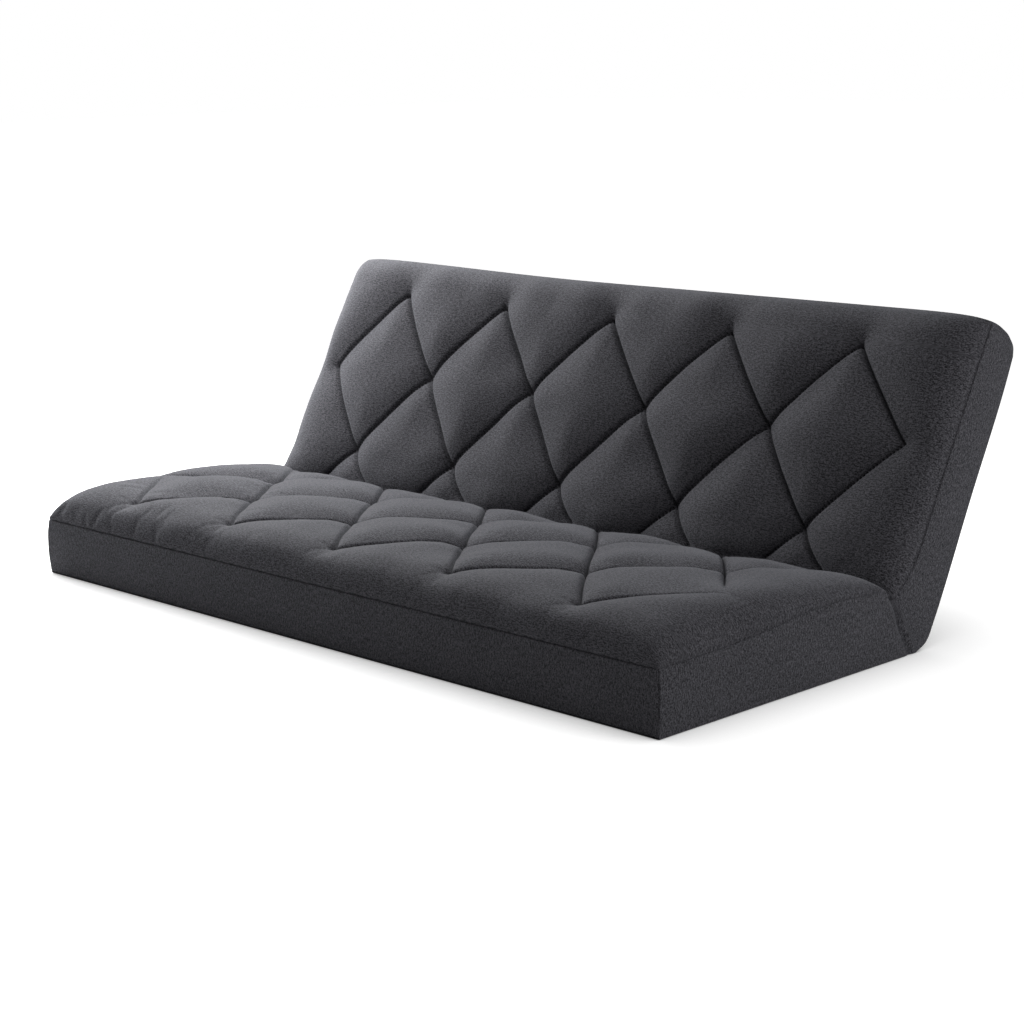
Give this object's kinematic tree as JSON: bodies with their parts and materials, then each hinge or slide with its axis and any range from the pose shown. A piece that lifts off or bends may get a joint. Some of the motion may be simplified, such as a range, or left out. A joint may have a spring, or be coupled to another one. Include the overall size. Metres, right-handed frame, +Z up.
{
  "type": "futon sofa bed",
  "caption": "Floor-standing futon sofa bed: diamond-quilted seat and back pads over a hinged steel frame, with the back folding flat into a bed.",
  "frame": {"origin": "on the floor, under the middle of the object's box at rest", "axes": "+X along the sofa, to the right seen from the front, +Y from the front towards the back, +Z up"},
  "size_m": [1.9, 1.0676, 0.6413],
  "materials": {
    "cover_cloth": "matte",
    "lining_cloth": "matte",
    "fibre_wadding": "matte",
    "foam": "matte",
    "frame_steel": "satin",
    "hinge_steel": "satin",
    "spring_steel": "satin",
    "plug_plastic": "matte",
    "zip_nylon": "matte",
    "zip_metal": "satin"
  },
  "bodies": {
    "seat_pad": {"hinge_pin_left": "hinge_steel", "hinge_pin_right": "hinge_steel", "hinge_seat_plate_left": "hinge_steel", "hinge_seat_plate_right": "hinge_steel", "pawl_pin_left": "hinge_steel", "pawl_pin_right": "hinge_steel", "pawl_spring_left": "spring_steel", "pawl_spring_right": "spring_steel", "seat_bottom_cloth": "lining_cloth", "seat_boxing_left": "cover_cloth", "seat_boxing_right": "cover_cloth", "seat_cross_tube_1": "frame_steel", "seat_cross_tube_2": "frame_steel", "seat_cross_tube_3": "frame_steel", "seat_foam": "foam", "seat_fold_panel": "cover_cloth", "seat_front_boxing": "cover_cloth", "seat_front_rail": "frame_steel", "seat_left_plug_inner": "plug_plastic", "seat_left_plug_outer": "plug_plastic", "seat_left_rail": "frame_steel", "seat_rear_rail": "frame_steel", "seat_right_plug_inner": "plug_plastic", "seat_right_plug_outer": "plug_plastic", "seat_right_rail": "frame_steel", "seat_top_panel": "cover_cloth", "seat_wadding": "fibre_wadding"},
    "back_pad": {"back_boxing_left": "cover_cloth", "back_boxing_right": "cover_cloth", "back_cross_tube_1": "frame_steel", "back_cross_tube_2": "frame_steel", "back_cross_tube_3": "frame_steel", "back_face_panel": "cover_cloth", "back_foam": "foam", "back_fold_panel": "cover_cloth", "back_left_plug_inner": "plug_plastic", "back_left_plug_outer": "plug_plastic", "back_left_rail": "frame_steel", "back_lower_rail": "frame_steel", "back_rear_panel": "cover_cloth", "back_right_plug_inner": "plug_plastic", "back_right_plug_outer": "plug_plastic", "back_right_rail": "frame_steel", "back_upper_rail": "frame_steel", "back_wadding": "fibre_wadding", "hinge_back_plate_left": "hinge_steel", "hinge_back_plate_right": "hinge_steel", "zip_tape_lower": "zip_nylon", "zip_tape_upper": "zip_nylon"},
    "pawl_arm_left": {"pawl_left": "hinge_steel"},
    "pawl_arm_right": {"pawl_right": "hinge_steel"},
    "zip_runner": {"zip_slider": "zip_metal"}
  },
  "joints": [
    {"name": "back_recline", "type": "hinge", "parent": "seat_pad", "child": "back_pad", "pos_m": [0, 0.22618, 0.03], "axis": [-1, 0, 0], "range_deg": [-10, 62.5]},
    {"name": "pawl_left_lift", "type": "hinge", "parent": "seat_pad", "child": "pawl_arm_left", "pos_m": [-0.93, 0.17018, 0.04], "axis": [1, 0, 0], "range_deg": [0, 14], "stiffness_Nm_per_rad": 0.2},
    {"name": "pawl_right_lift", "type": "hinge", "parent": "seat_pad", "child": "pawl_arm_right", "pos_m": [0.93, 0.17018, 0.04], "axis": [1, 0, 0], "range_deg": [0, 14], "stiffness_Nm_per_rad": 0.2},
    {"name": "zip_slide", "type": "slide", "parent": "back_pad", "child": "zip_runner", "axis": [-1, 0, 0], "range_m": [0, 1.76]}
  ]
}
